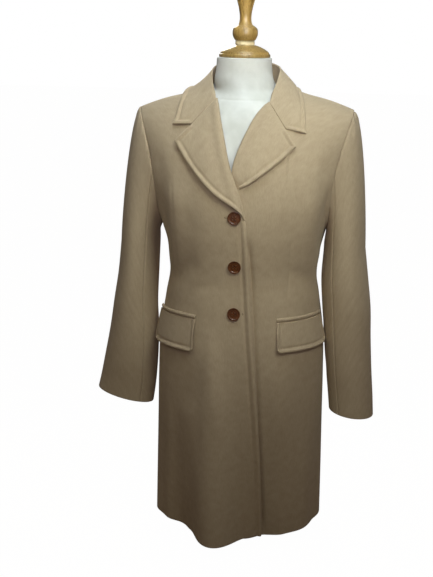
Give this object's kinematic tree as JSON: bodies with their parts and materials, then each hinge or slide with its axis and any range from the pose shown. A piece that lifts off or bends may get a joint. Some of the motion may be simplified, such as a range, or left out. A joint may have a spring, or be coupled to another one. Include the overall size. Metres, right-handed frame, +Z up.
{
  "type": "single-breasted coat on a dress form",
  "caption": "Camel wool single-breasted coat with notch collar, flap pockets and horn buttons, shown closed on a limbless dress form with a turned wood neck cap.",
  "frame": {"origin": "centre of the underside of the base", "axes": "+Z up along the form's pole, -Y towards the viewer in front of the coat, -X the wearer's right"},
  "size_m": [0.566, 0.3244, 1.089],
  "materials": {
    "coat_wool": "felted napped wool, matt",
    "button_horn": "polished brown horn look",
    "form_cloth": "white stretch cloth cover, matt",
    "turned_wood": "honey varnish, satin",
    "cream_ring": "cream satin"
  },
  "bodies": {
    "root": {"front_right": "coat_wool", "front_left": "coat_wool", "back_right": "coat_wool", "back_left": "coat_wool", "top_sleeve_right": "coat_wool", "top_sleeve_left": "coat_wool", "under_sleeve_right": "coat_wool", "under_sleeve_left": "coat_wool", "collar": "coat_wool", "lapel_right": "coat_wool", "lapel_left": "coat_wool", "jet_right": "coat_wool", "jet_left": "coat_wool", "flap_right": "coat_wool", "flap_left": "coat_wool", "button_1": "button_horn", "button_2": "button_horn", "button_3": "button_horn", "form_torso": "form_cloth", "neck_cap": "turned_wood", "finial": "turned_wood", "pole": "turned_wood", "base": "turned_wood", "neck_ring": "cream_ring"}
  },
  "joints": []
}
